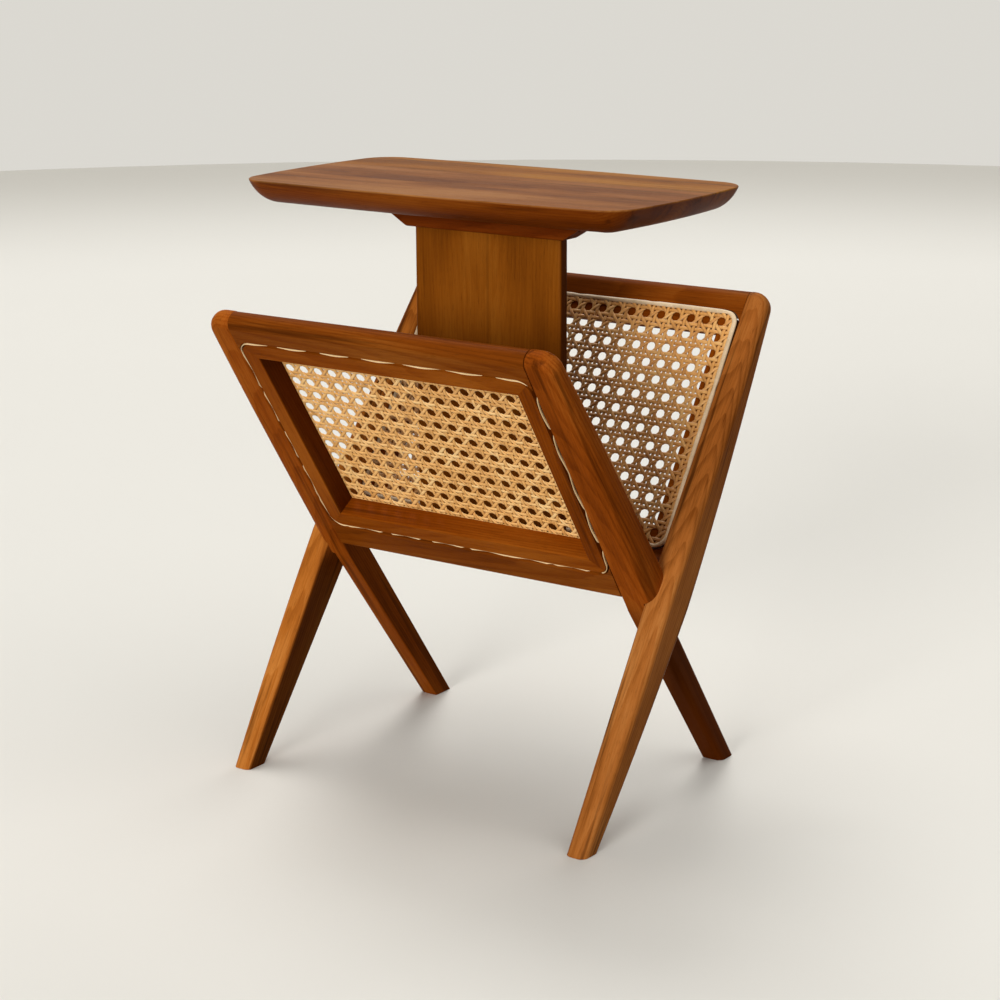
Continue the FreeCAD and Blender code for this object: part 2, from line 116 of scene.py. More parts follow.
# %% A socket that can be added and multiplied
class Socket:
    """An output socket of a material's tree."""

    def __init__(self, tree, socket=None):
        self.tree = tree
        self.socket = socket

    def node(self, kind, settings=None, sockets=None, output=0):
        """A new node: its settings first, then the values or links of its sockets."""
        made = self.tree.nodes.new(kind)
        for name, value in (settings or {}).items():
            if name == "stops":
                self.set_stops(made.color_ramp, value)
            else:
                setattr(made, name, value)
        for name, value in (sockets or {}).items():
            if isinstance(value, Socket):
                self.tree.links.new(value.socket, made.inputs[name])
            else:
                made.inputs[name].default_value = value
        return Socket(self.tree, made.outputs[output])

    @staticmethod
    def set_stops(ramp, stops):
        while len(ramp.elements) < len(stops):
            ramp.elements.new(1.0)
        for element, (place, colour) in zip(ramp.elements, stops):
            element.position = place
            element.color = (*colour, 1.0)

    def math(self, operation, first, second=0.0):
        return self.node("ShaderNodeMath", {"operation": operation}, {0: first, 1: second})

    def __add__(self, other):
        return self.math("ADD", self, other)

    __radd__ = __add__

    def __sub__(self, other):
        return self.math("SUBTRACT", self, other)

    def __rsub__(self, other):
        return self.math("SUBTRACT", other, self)

    def __mul__(self, other):
        return self.math("MULTIPLY", self, other)

    __rmul__ = __mul__

    def fraction(self):
        """What is left of a number without its whole part."""
        return self.math("FRACT", self)

    def part(self, axis):
        """One number of a vector."""
        return self.node("ShaderNodeSeparateXYZ", None, {0: self}, output=axis)

    def length(self):
        """How long a vector is."""
        return self.node("ShaderNodeVectorMath", {"operation": "LENGTH"}, {0: self}, output="Value")

    def stretched(self, factors):
        """A vector with each of its parts multiplied."""
        return self.node("ShaderNodeVectorMath", {"operation": "MULTIPLY"}, {0: self, 1: factors})

    def moved(self, place, turn=(0.0, 0.0, 0.0)):
        """A vector seen from a place and a turn of its own."""
        return self.node("ShaderNodeMapping", {"vector_type": "TEXTURE"},
                         {"Vector": self, "Location": place, "Rotation": turn})

    def noise(self, factors, detail=2.0, roughness=0.5):
        """Soft random values from 0 to 1, at so many lumps to the metre along each axis."""
        return self.node("ShaderNodeTexNoise", {"noise_dimensions": "3D"},
                         {"Vector": self.stretched(factors), "Scale": 1.0, "Detail": detail,
                          "Roughness": roughness})

    def between(self, low, high):
        """0 below low, 1 above high, smooth in between."""
        return self.node("ShaderNodeMapRange", {"interpolation_type": "SMOOTHSTEP"},
                         {"Value": self, "From Min": low, "From Max": high})

    def ramp(self, stops):
        """A colour for each value, from stops of a value and a colour."""
        return self.node("ShaderNodeValToRGB", {"stops": stops}, {"Fac": self})

    def mixed(self, factor, other, blend="MIX"):
        """This colour, with another laid over it by a factor."""
        return self.node("ShaderNodeMix", {"data_type": "RGBA", "blend_type": blend},
                         {"Factor": factor, 6: self, 7: other}, output=2)

    def bump(self, strength, depth):
        """The tilt of a surface that rises and falls with this height."""
        return self.node("ShaderNodeBump", None, {"Strength": strength, "Distance": depth, "Height": self})


def new_material(name):
    """A fresh material, its shader node and the place in space that every pattern starts from."""
    material = bpy.data.materials.new(name)
    material.use_nodes = True
    shader = material.node_tree.nodes["Principled BSDF"]
    spot = Socket(material.node_tree).node("ShaderNodeTexCoord", output="Object")
    return material, shader, spot


def feed(shader, **sockets):
    """Values or links into the shader's own sockets."""
    for name, value in sockets.items():
        target = shader.inputs[name.replace("_", " ")]
        if isinstance(value, Socket):
            shader.id_data.links.new(value.socket, target)
        else:
            target.default_value = value


def darker(colour, share):
    """A colour with each of its parts multiplied by a share."""
    return [part * share for part in colour]


def dress(piece, material):
    """Gives a piece one material in place of those it has."""
    piece.data.materials.clear()
    piece.data.materials.append(material)


print("material tools ready")

# %% [markdown]
# ## Floor and background
# The photograph is a studio picture on a pale floor that runs into a pale wall. A room could be built,
# but a wide disc under a pale background gives the same soft horizon from every side.

# %% Floor and background
FLOOR_RADIUS = 4.9
FLOOR_SINK = 0.2 * MM
FLOOR_SIDES = 128
FLOOR_COLOUR = (0.775, 0.752, 0.690)
FLOOR_CLOUDS = (1.3, 1.3, 1.3)
FLOOR_CLOUD_SHARE = 0.985
FAR_FLOOR_SHADE_COLOUR = (0.500, 0.478, 0.425, 1.0)
FAR_FLOOR_START = 2.9
FLOOR_BOUNCE = (0.16, 0.15, 0.135, 1.0)
WALL_COLOUR = (0.71, 0.69, 0.64, 1.0)
FILL_COLOUR = (1.0, 0.985, 0.96, 1.0)
FILL_STRENGTH = 0.12


def piece_from(bm, name, material):
    """A finished object at the origin, from a bmesh in metres."""
    mesh = bpy.data.meshes.new(name)
    bm.to_mesh(mesh)
    bm.free()
    piece = bpy.data.objects.new(name, mesh)
    bpy.context.scene.collection.objects.link(piece)
    dress(piece, material)
    return piece


def seen_rays(start):
    """1 for what the camera sees, straight or in a mirror, and 0 for the light on the table."""
    camera_ray, mirror_ray, glass_ray = [start.node("ShaderNodeLightPath", output="Is " + kind + " Ray")
                                         for kind in ("Camera", "Glossy", "Transmission")]
    return camera_ray + mirror_ray + glass_ray


def make_floor():
    """A disc with painted shade towards its rim, which throws back less light than it shows."""
    material, shader, spot = new_material("pale_floor")
    clouded = darker(FLOOR_COLOUR, FLOOR_CLOUD_SHARE)
    pale = spot.noise(FLOOR_CLOUDS).ramp([(0.3, clouded), (0.7, FLOOR_COLOUR)])
    # painted shade: the floor darkens far from the table
    pale = pale.mixed(spot.length().between(FAR_FLOOR_START, FLOOR_RADIUS), FAR_FLOOR_SHADE_COLOUR)
    feed(shader, Base_Color=pale, Roughness=0.85, Specular_IOR_Level=0.2)
    shown = Socket(material.node_tree, shader.outputs["BSDF"])
    bounce = spot.node("ShaderNodeBsdfDiffuse", None, {"Color": FLOOR_BOUNCE})
    both = spot.node("ShaderNodeMixShader", None, {0: seen_rays(spot), 1: bounce, 2: shown})
    material.node_tree.links.new(both.socket, material.node_tree.nodes["Material Output"].inputs["Surface"])
    bm = bmesh.new()
    bmesh.ops.create_circle(bm, cap_ends=True, segments=FLOOR_SIDES, radius=FLOOR_RADIUS)
    bmesh.ops.translate(bm, verts=bm.verts, vec=(0, 0, -FLOOR_SINK))
    return piece_from(bm, "floor", material)


def make_background():
    """Pale to the camera and in reflections, a plain white fill for the light."""
    world = bpy.data.worlds.new("studio")
    world.use_nodes = True
    bpy.context.scene.world = world
    start = Socket(world.node_tree)
    light = start.node("ShaderNodeBackground", None, {"Color": FILL_COLOUR, "Strength": FILL_STRENGTH})
    wall = start.node("ShaderNodeBackground", None, {"Color": WALL_COLOUR, "Strength": 1.0})
    both = start.node("ShaderNodeMixShader", None, {0: seen_rays(start), 1: light, 2: wall})
    world.node_tree.links.new(both.socket, world.node_tree.nodes["World Output"].inputs["Surface"])


floor = make_floor()
make_background()
bpy.context.scene.view_settings.view_transform = "Standard"
print("floor radius", FLOOR_RADIUS)

# %% [markdown]
# ## Lamps
# Soft light comes from wide lamps. Large square lamps near the table would do, but their light falls off
# across the floor, so these are far ones, each given by the way towards it. Two hang above on the left,
# one of them further back, and throw the gentle shadows. A low one in front lights the cane, and a very
# soft one at the upper right lights the outer sides of the legs. The last stands low behind the table,
# for the views of its back, and is kept out of reflections so that the top and the floor don't shine
# with it. The background fills in the rest.

# %% Five soft lamps
LAMP_DISTANCE = 3.0
LAMPS = {
    "back_lamp": {"towards": (-0.50, 0.45, 1.0), "softness": 24.0, "strength": 1.05},
    "front_lamp": {"towards": (0.12, -0.97, 0.18), "softness": 26.0, "strength": 3.0},
    "side_lamp": {"towards": (0.55, 0.0, 1.0), "softness": 60.0, "strength": 0.9},
    "top_lamp": {"towards": (-0.30, 0.05, 1.0), "softness": 30.0, "strength": 0.55},
    "rear_lamp": {"towards": (-0.20, 0.96, 0.17), "softness": 40.0, "strength": 1.6, "mirrored": False},
}


def hang_lamp(name, towards, softness, strength, mirrored=True):
    """A wide, far lamp: it lights the whole floor evenly and throws soft shadows."""
    lamp = bpy.data.objects.new(name, bpy.data.lights.new(name, "SUN"))
    lamp.data.angle = math.radians(softness)
    lamp.data.energy = strength
    lamp.visible_glossy = mirrored
    lamp.location = Vector(towards) * LAMP_DISTANCE
    lamp.rotation_euler = Vector(towards).to_track_quat("Z", "Y").to_euler()
    bpy.context.scene.collection.objects.link(lamp)


for lamp_name, lamp_facts in LAMPS.items():
    hang_lamp(lamp_name, **lamp_facts)
print("lamps", list(LAMPS))

# %% [markdown]
# ## Teak
# Teak is an oily golden to red brown wood. A sawn face cuts the growth rings, which show as lines or
# arches, and over them lie fine fibres, short dark pores and a few dark streaks. A picture of wood
# would slide over the edges of a solid. A pattern in space doesn't: each piece gets its own block of
# wood, with the grain laid along the piece, so that end grain and long grain meet at the edges as they
# do in a real plank. The rings are distances from the heart of a tree that lies beside the piece.

# %% The marks of teak
RINGS_PER_METRE = 330.0
RING_WANDER = 2.4
# lumps to the metre along the grain, across it and through it
WANDER_LUMPS = (5, 38, 38)
FIBRE_LUMPS = (14, 620, 620)
CLOUD_LUMPS = (4, 26, 26)
STREAK_LUMPS = (2.6, 105, 105)
PORE_LUMPS = (85, 2300, 2300)


def grain_turn(grain, width):
    """The turn that lays a block's x along the grain and its y along the width."""
    grain = Vector(grain).normalized()
    thickness = grain.cross(Vector(width)).normalized()
    across = thickness.cross(grain)
    return Matrix((grain, across, thickness)).transposed().to_euler()


def growth_rings(block, heart, tilt):
    """1 in the dark late wood of each ring, 0 in the pale early wood."""
    wander = block.noise(WANDER_LUMPS, 2.0)
    radius = block.moved(heart, tilt).stretched((0, 1, 1)).length()
    ring = (radius * RINGS_PER_METRE + (wander - 0.5) * RING_WANDER).fraction()
    return ring.between(0.35, 0.92) * (1 - ring.between(0.94, 1.0))


print("a ring is", round(1 / MM / RINGS_PER_METRE, 2), "mm wide")

# %% [markdown]
# ## Painted shade
# Shade is painted into the wood in a few places: along the edge of the top, on one side of some pieces,
# and down the legs at the back. Paint on the vertices would need a finer mesh than the solids have. The
# same block in space can be darkened by place instead, and the grain still shows through.

# %% Painted shade on one side and below the crossing
CROSSING = (0.0, 0.0, 0.193)
SHADE_START = -30.0 * MM
SHADE_FULL = 60.0 * MM
SHADE_DARKNESS = 0.6
SHADE_FADE = 30.0 * MM
ABOVE_ALL = 1.0


def stained(colour, spot, axis, plain, full, stain_colour, top=ABOVE_ALL):
    """Paints shade into a colour, from a plain place on an axis to one fully shaded, up to a height."""
    place = spot.part(axis)
    share = place.between(plain, full) if plain < full else 1 - place.between(full, plain)
    share = share * (1 - spot.part("Z").between(top - SHADE_FADE, top))
    return colour.mixed(share, stain_colour, "MULTIPLY")


def shaded(colour, spot, turn, shade, deep):
    """Paints shade into a leaning stick below the place where the frames cross."""
    below = 0 - spot.moved(CROSSING, turn).part("X")
    dark = (*darker(deep, SHADE_DARKNESS), 1.0)
    return colour.mixed(below.between(SHADE_START, SHADE_FULL) * shade, dark)


print("a stain fades out over", SHADE_FADE, "m")

# %% [markdown]
# ## One finish for all the teak
# On the real wood every mark lies in the others: pores cut the streaks, and streaks run through the
# rings. So one finish adds them up into a single tone, looks its colour up between a deep and a pale
# teak, and lays the dark marks over it. What makes a plank lively or a rail plain is only how strong
# each mark is.

# %% A block of teak
# how strongly each mark lightens or darkens the wood
CLOUD_STRENGTH = 1.4
FIBRE_STRENGTH = 0.55
RING_STRENGTH = 0.14
STREAK_STRENGTH = 0.55
PORE_STRENGTH = 0.35
MARK_DARKNESS = 0.30
GRAIN_DEPTH = 0.4 * MM


def teak(name, centre, turn, tones, heart, tilt, rings=1.0, streaks=1.0, clouds=1.0, sheen=0.02,
         shade=0.0, stain=None):
    """Satin teak, in a block with its own centre and turn.

    tones are a deep, a middle and a pale colour. heart is where the tree's heart lies in the block, and
    tilt is how it leans. rings, streaks and clouds make those marks stronger or weaker, and sheen is how
    much of the light the oiled face mirrors. The last two paint shade: below the crossing and on one side.
    """
    material, shader, spot = new_material(name)
    deep, middle, pale = tones
    block = spot.moved(centre, turn)
    late_wood = growth_rings(block, heart, tilt)
    fibre = block.noise(FIBRE_LUMPS, 4.0, 0.62)
    cloud = block.noise(CLOUD_LUMPS, 3.0)
    more_streaks = 0.05 * streaks
    streak = block.noise(STREAK_LUMPS, 3.0, 0.55).between(0.60 - more_streaks, 0.74 - more_streaks)
    pores = block.noise(PORE_LUMPS, 1.0).between(0.60, 0.70)
    tone = (0.5 + (cloud - 0.5) * (CLOUD_STRENGTH * clouds) + (fibre - 0.5) * FIBRE_STRENGTH
            - (late_wood - 0.3) * (RING_STRENGTH * rings))
    dark = (*darker(deep, MARK_DARKNESS), 1.0)
    colour = tone.ramp([(0.12, deep), (0.5, middle), (0.88, pale)])
    colour = colour.mixed(streak * (STREAK_STRENGTH * streaks), dark).mixed(pores * PORE_STRENGTH, dark)
    # painted shade along one side, then below the crossing
    if stain:
        colour = stained(colour, spot, **stain)
    if shade:
        colour = shaded(colour, spot, turn, shade, deep)
    height = fibre * 0.5 - pores * 0.6 - late_wood * 0.2
    roughness = 0.46 + (fibre - 0.5) * 0.25 + pores * 0.1
    feed(shader, Base_Color=colour, Normal=height.bump(0.12, GRAIN_DEPTH), Roughness=roughness,
         Specular_IOR_Level=sheen)
    return material


print("marks darken to", MARK_DARKNESS, "of the deepest tone")

# %% [markdown]
# ## Which way the grain runs
# A maker lays the grain along each stick: up the stiles and legs, along the rails and planks, up the
# centre board. Every piece also has a tone of its own, because no two sticks come from one tree.

# %% The grain and tone of every kind of piece
LEAN = math.radians(35.0)
ALONG = (1, 0, 0)
BACK = (0, 1, 0)
UP = (0, 0, 1)
REAR_STICK = (0, math.sin(LEAN), math.cos(LEAN))
FRONT_STICK = (0, -math.sin(LEAN), math.cos(LEAN))
TONES = {
    "top": ((0.115, 0.032, 0.005), (0.215, 0.069, 0.012), (0.310, 0.124, 0.033)),
    "top_pale": ((0.125, 0.036, 0.002), (0.245, 0.078, 0.004), (0.345, 0.135, 0.015)),
    "board": ((0.115, 0.029, 0.0013), (0.185, 0.051, 0.0027), (0.250, 0.080, 0.0065)),
    "batten": ((0.075, 0.012, 0.0005), (0.130, 0.022, 0.001), (0.190, 0.040, 0.003)),
    "leg": ((0.165, 0.044, 0.005), (0.350, 0.112, 0.020), (0.490, 0.195, 0.048)),
    "leg_pale": ((0.190, 0.046, 0.004), (0.395, 0.119, 0.015), (0.550, 0.210, 0.043)),
    "stile": ((0.120, 0.022, 0.0013), (0.260, 0.055, 0.004), (0.400, 0.108, 0.012)),
    "rail": ((0.085, 0.017, 0.0007), (0.172, 0.037, 0.0018), (0.260, 0.074, 0.008)),
    "insert": ((0.105, 0.019, 0.0006), (0.205, 0.042, 0.0013), (0.300, 0.078, 0.006)),
}
print("tones", list(TONES))

# %% The painted shade of single pieces


def right_side_stain(side, start, full, stain_colour, top=ABOVE_ALL):
    """Painted shade on a right-hand side, with its start and its full strength in millimetres from it."""
    return {"axis": "X", "plain": side - start * MM, "full": side - full * MM,
            "stain_colour": stain_colour, "top": top}


LEG_SHADE_TOP = 0.20
LEG_FOOT = 0.12
top_level = cad_box[1][2]
board_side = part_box("centre_board")[1][0]
insert_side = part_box("front_insert_left")[1][0]
leg_side = max(v.co.x for v in nodes["rear_frame_left_leg"].data.vertices if v.co.z < LEG_FOOT)
PAINTED_SHADES = {
    # painted shade along the edge of the top, just below its top face
    "top_edge": {"axis": "Z", "plain": top_level - 0.5 * MM, "full": top_level - 2.0 * MM,
                 "stain_colour": (0.70, 0.43, 0.12, 1.0)},
    # painted shade on the right-hand face of the centre board, inside the rack
    "board": right_side_stain(board_side, 0.8, 0.2, (0.55, 0.45, 0.45, 1.0)),
    # painted shade on the inner face of the front panel's left insert, in its recess
    "insert": right_side_stain(insert_side, 1.2, 0.3, (0.48, 0.42, 0.35, 1.0)),
    # painted shade on the inner side of the front left leg, below the crossing
    "left_leg": right_side_stain(leg_side, 2.0, 0.5, (0.40, 0.34, 0.26, 1.0), LEG_SHADE_TOP),
    # painted shade on the upper part of the rear panel's right stile, under the top
    "right_leg": {"axis": "Z", "plain": 0.25, "full": 0.33, "stain_colour": (0.84, 0.78, 0.68, 1.0)},
}
print("stains", list(PAINTED_SHADES))

# %% Lay the teak
HEART_SHIFT = 12.0 * MM
GRAIN_SHIFT = 0.4
random.seed(11)


def wood_piece(node_name, tone, grain, width, heart=(0.0, 0.012, -0.045), tilt=(0.0, 0.035, 0.02), **looks):
    """Lays a block of teak in a piece, moved a little along the grain and about its heart.

    No two pieces look alike then.
    """
    shift = [random.uniform(-HEART_SHIFT, HEART_SHIFT) for _ in heart]
    middle = [(low + high) / 2 for low, high in zip(*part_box(node_name))]
    centre = [c + random.uniform(-GRAIN_SHIFT, GRAIN_SHIFT) * g for c, g in zip(middle, grain)]
    heart = [h + s for h, s in zip(heart, shift)]
    tilt = [angle * random.choice((-1, 1)) for angle in tilt]
    turn = grain_turn(grain, width)
    dress(nodes[node_name], teak(node_name + "_teak", centre, turn, TONES[tone], heart, tilt, **looks))


for plank, tone, heart in (("back", "top_pale", (0, 0.01, -0.03)), ("middle", "top", (0, -0.02, -0.025)),
                           ("front", "top", (0, 0.02, -0.03))):
    wood_piece("top_plank_" + plank, tone, ALONG, BACK, heart=heart, sheen=0.035, clouds=1.5, streaks=0.9,
               stain=PAINTED_SHADES["top_edge"])
wood_piece("top_batten", "batten", ALONG, UP)
wood_piece("centre_board", "board", UP, ALONG, heart=(0, 0.0, -0.035), tilt=(0.0, 0.05, 0.015), rings=0.6,
           streaks=0.4, stain=PAINTED_SHADES["board"])
# painted shade on the back legs below the crossing, strongest on the right, which the front leg shades
for end, leg_tone, shade in (("left", "leg_pale", 0.2), ("right", "leg", 0.85)):
    wood_piece("rear_frame_" + end + "_leg", leg_tone, REAR_STICK, ALONG, tilt=(0.0, 0.07, 0.04), rings=1.2,
               streaks=1.5, stain=PAINTED_SHADES[end + "_leg"])
    wood_piece("front_frame_" + end + "_leg", "stile", FRONT_STICK, ALONG, sheen=0.008, shade=shade)
for panel, stick in (("rear", REAR_STICK), ("front", FRONT_STICK)):
    for level in ("top", "bottom"):
        wood_piece(panel + "_" + level + "_rail", "rail", ALONG, stick)
        wood_piece(panel + "_insert_" + level, "insert", ALONG, stick)
    for end in ("left", "right"):
        stain = PAINTED_SHADES["insert"] if (panel, end) == ("front", "left") else None
        wood_piece(panel + "_insert_" + end, "insert", stick, ALONG, stain=stain)
print("teak pieces", len([m for m in bpy.data.materials if m.name.endswith("_teak")]))

# %% [markdown]
# ## Dowels, pins and screws
# Nearly all of these are hidden in the joints of the finished table, but the part is also shown taken
# apart. The dowels are pale beech with fine fibres, the pins and screws are zinc with a clouded face.

# %% Hidden fasteners
FLECK_LUMPS = (400, 400, 400)
BLOOM_LUMPS = (500, 500, 500)


def dowel_wood():
    material, shader, spot = new_material("beech_dowel")
    fleck = spot.noise(FLECK_LUMPS, 3.0)
    colour = fleck.ramp([(0.3, (0.50, 0.33, 0.18)), (0.7, (0.68, 0.50, 0.32))])
    feed(shader, Base_Color=colour, Roughness=0.55 + (fleck - 0.5) * 0.2)
    return material


def zinc():
    material, shader, spot = new_material("zinc_steel")
    bloom = spot.noise(BLOOM_LUMPS, 3.0)
    colour = bloom.ramp([(0.3, (0.48, 0.49, 0.50)), (0.7, (0.62, 0.62, 0.60))])
    feed(shader, Base_Color=colour, Metallic=1.0, Roughness=0.32 + bloom * 0.2)
    return material


pale_dowel = dowel_wood()
bright_steel = zinc()
for node_name, node in nodes.items():
    if node_name.endswith("_dowels"):
        dress(node, pale_dowel)
    elif node_name.endswith(("_screws", "_pins")):
        dress(node, bright_steel)
print("fasteners dressed")

# %% [markdown]
# ## The leaning panels
# The cane, its binder and the reed in the groove all lie in a leaning panel. It is easier to make them
# flat and to tilt them afterwards, so each panel gets a frame of its own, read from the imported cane
# sheet: x along the table, y up the panel, z towards the inside of the V.

# %% A frame for each panel


def panel_frame(node_name):
    """The matrix that tilts a flat piece into the panel, and half the sheet's width and height."""
    mesh = nodes[node_name].data
    inside = max(mesh.polygons, key=lambda face: face.area).normal.copy()
    if inside.z < 0:
        inside.negate()
    along = Vector((1, 0, 0)) if inside.y < 0 else Vector((-1, 0, 0))
    up = inside.cross(along)
    turn = Matrix((along, up, inside)).transposed()
    flat = [turn.transposed() @ vertex.co for vertex in mesh.vertices]
    low = Vector([min(point[i] for point in flat) for i in range(3)])
    high = Vector([max(point[i] for point in flat) for i in range(3)])
    middle = Vector(((low.x + high.x) / 2, (low.y + high.y) / 2, low.z))
    tilt = Matrix.Translation(turn @ middle) @ turn.to_4x4()
    return tilt, (high.x - low.x) / 2, (high.y - low.y) / 2


panels = {panel: panel_frame(panel + "_cane_web") for panel in ("front", "rear")}
for panel, (_, half_width, half_height) in panels.items():
    print(panel, "panel is", round(half_width * 2, 4), "by", round(half_height * 2, 4))

# %% [markdown]
# ## Cane
# Chair cane is woven from six sets of split rattan strands: two up, two across and two slanting ones
# that cross midway between the holes. It could be a flat sheet with holes, but the light that catches
# the rounded strands is what makes cane look like cane. Each strand here is a small flat ring drawn out
# along its run by spin, waved over and under its neighbours, and trimmed to the panel.

# %% One waved strand
CANE_PITCH = 16.0 * MM
PAIR_GAP = 4.7 * MM
STRAND_WIDTH = 3.4 * MM
SLANT_WIDTH = 3.1 * MM
STRAND_THICKNESS = 0.75 * MM
PAIR_WAVE = 0.53 * MM
SLANT_WAVE = 0.75 * MM
WEAVE_LEVEL = 1.1 * MM
STRAND_SIDES = 6
STEPS_PER_PITCH = 6


def strand(heading, length, width, wave):
    """A strand from the origin along a heading; wave gives its height after a way along it."""
    bm = bmesh.new()
    ring = bmesh.ops.create_circle(bm, cap_ends=False, segments=STRAND_SIDES, radius=0.5)["verts"]
    bmesh.ops.rotate(bm, verts=ring, cent=(0, 0, 0), matrix=Matrix.Rotation(math.pi / 2, 3, "Y"))
    bmesh.ops.scale(bm, verts=ring, vec=(1, width, STRAND_THICKNESS))
    slanting = abs(math.sin(2 * heading)) > 0.5
    run = CANE_PITCH * (math.sqrt(2) if slanting else 1.0) / STEPS_PER_PITCH
    bmesh.ops.spin(bm, geom=ring + bm.edges[:], cent=(0, 0, 0), axis=(0, 0, 1), dvec=(run, 0, 0), angle=0.0,
                   steps=math.ceil(length / run), use_merge=False, use_duplicate=False)
    for vertex in bm.verts:
        vertex.co.z += wave(vertex.co.x) + WEAVE_LEVEL
    bmesh.ops.rotate(bm, verts=bm.verts, cent=(0, 0, 0), matrix=Matrix.Rotation(heading, 3, "Z"))
    mesh = bpy.data.meshes.new("strand")
    bm.to_mesh(mesh)
    bm.free()
    mesh.attributes.new("strand_tone", "FLOAT", "POINT")
    return mesh


def lay(bm, mesh, place):
    """Adds a copy of a strand at a place of the panel, with a tone of its own."""
    shift = Matrix.Translation((*place, 0))
    tones = [random.random()] * len(mesh.vertices)
    mesh.attributes["strand_tone"].data.foreach_set("value", tones)
    mesh.transform(shift)
    bm.from_mesh(mesh)
    mesh.transform(shift.inverted())


print("strand of", round(STRAND_WIDTH / MM, 2), "by", round(STRAND_THICKNESS / MM, 2), "mm")

# %% A woven panel
WEB_CORNER = 12.0 * MM
TURN = 2 * math.pi / CANE_PITCH


def line_places(half, offset):
    """Places of the lines of one set, a pitch apart, that cross a half width."""
    count = int(half / CANE_PITCH) + 2
    places = [(i + offset) * CANE_PITCH for i in range(-count, count + 1)]
    return [place for place in places if abs(place) < half]


def weave(panel, x_offset, y_offset):
    """All strands of a panel; the offsets say how far off the middle a line lies, in pitches."""
    half_width, half_height = panels[panel][1:]
    x_zero, y_zero = x_offset * CANE_PITCH, y_offset * CANE_PITCH
    bm = bmesh.new()
    for side in (-1, 1):
        upright = strand(math.pi / 2, 2 * half_height, STRAND_WIDTH,
                         lambda way: PAIR_WAVE * side * math.sin(TURN * (way - half_height - y_zero)))
        level = strand(0.0, 2 * half_width, STRAND_WIDTH,
                       lambda way: -PAIR_WAVE * side * math.sin(TURN * (way - half_width - x_zero)))
        for x in line_places(half_width + PAIR_GAP, x_offset):
            lay(bm, upright, (x + side * PAIR_GAP / 2, -half_height))
        for y in line_places(half_height + PAIR_GAP, y_offset):
            lay(bm, level, (-half_width, y + side * PAIR_GAP / 2))
    count = int((half_width + half_height) / CANE_PITCH) + 2
    for slant in (-1, 1):
        # each line is x - slant * y = its place, started at its lower end
        starts = [(i + 0.5) * CANE_PITCH + x_zero - slant * (y_zero + half_height)
                  for i in range(-count, count + 1)]
        slanted = strand(math.pi / 2 - slant * math.pi / 4, 2 * half_height * math.sqrt(2), SLANT_WIDTH,
                         lambda way: slant * SLANT_WAVE * math.cos(
                             TURN * (starts[0] - x_zero + slant * way / math.sqrt(2))))
        for x in starts:
            ends = (x, x + slant * 2 * half_height)
            if min(ends) < half_width and max(ends) > -half_width:
                lay(bm, slanted, (x, -half_height))
    return bm


def trim(bm, half_width, half_height):
    """Cuts a weave to the sheet's edges and its round corners, and closes the cut ends."""
    corner = half_width + half_height - WEB_CORNER * (2 - math.sqrt(2))
    cuts = [((side * half_width, 0, 0), (side, 0, 0)) for side in (-1, 1)]
    cuts += [((0, side * half_height, 0), (0, side, 0)) for side in (-1, 1)]
    cuts += [((a * corner / 2, b * corner / 2, 0), (a, b, 0)) for a in (-1, 1) for b in (-1, 1)]
    for place, normal in cuts:
        everything = bm.verts[:] + bm.edges[:] + bm.faces[:]
        bmesh.ops.bisect_plane(bm, geom=everything, plane_co=place, plane_no=normal, clear_outer=True)
    bmesh.ops.holes_fill(bm, edges=[edge for edge in bm.edges if edge.is_boundary], sides=0)
    bmesh.ops.recalc_face_normals(bm, faces=bm.faces)


print("lines across the front panel", len(line_places(panels["front"][1], 0.0)))

# %% [markdown]
# ## Cane finish
# New cane is golden and turns brown with age. The skin of the rattan is glossy, with fine fibres and a
# dark spot here and there where a leaf grew. One tone for the whole panel would look printed, so every
# strand carries a tone of its own as an attribute of its vertices. The rear panel is tinted darker than
# the front one, and painted shade darkens it further low down on its left.

# %% Golden cane and a darker rear cane
CANE_FIBRE_LUMPS = (900, 900, 900)
CANE_PATCH_LUMPS = (45, 45, 45)
LEAF_SPOT_LUMPS = (260, 260, 260)
LEAF_SPOT_COLOUR = (0.22, 0.10, 0.03, 1.0)
CANE_TONES = [(0.15, (0.58, 0.28, 0.07)), (0.5, (0.86, 0.47, 0.15)), (0.9, (0.96, 0.66, 0.30))]
LOW_CANE_SHADE_COLOUR = (0.52, 0.44, 0.36, 1.0)
LOW_CANE_SLOPE = 0.6
LOW_CANE_DARK = 0.34
LOW_CANE_PLAIN = 0.50
CANE_DEPTH = 0.2 * MM


def cane_finish(name, panel_tint, low_shade_share):
    """Cane with its colour multiplied by a tint; the share is how much painted shade darkens it low down.
    """
    material, shader, spot = new_material(name)
    own = spot.node("ShaderNodeAttribute", {"attribute_name": "strand_tone"}, output="Fac")
    fibre = spot.noise(CANE_FIBRE_LUMPS, 3.0, 0.6)
    patch = spot.noise(CANE_PATCH_LUMPS, 3.0)
    leaf_spots = spot.noise(LEAF_SPOT_LUMPS, 1.0).between(0.70, 0.78)
    tone = own * 0.45 + patch * 0.6 + (fibre - 0.5) * 0.5
    colour = tone.ramp(CANE_TONES).mixed(leaf_spots * 0.55, LEAF_SPOT_COLOUR)
    colour = colour.mixed(1.0, panel_tint, "MULTIPLY")
    # painted shade: darker low down and towards the left
    if low_shade_share:
        sloping_level = spot.part("Z") + spot.part("X") * LOW_CANE_SLOPE
        shaded_low_part = 1 - sloping_level.between(LOW_CANE_DARK, LOW_CANE_PLAIN)
        colour = colour.mixed(shaded_low_part * low_shade_share, LOW_CANE_SHADE_COLOUR, "MULTIPLY")
    feed(shader, Base_Color=colour, Roughness=0.38 + fibre * 0.2, Normal=fibre.bump(0.15, CANE_DEPTH),
         Coat_Weight=0.15, Coat_Roughness=0.3)
    return material


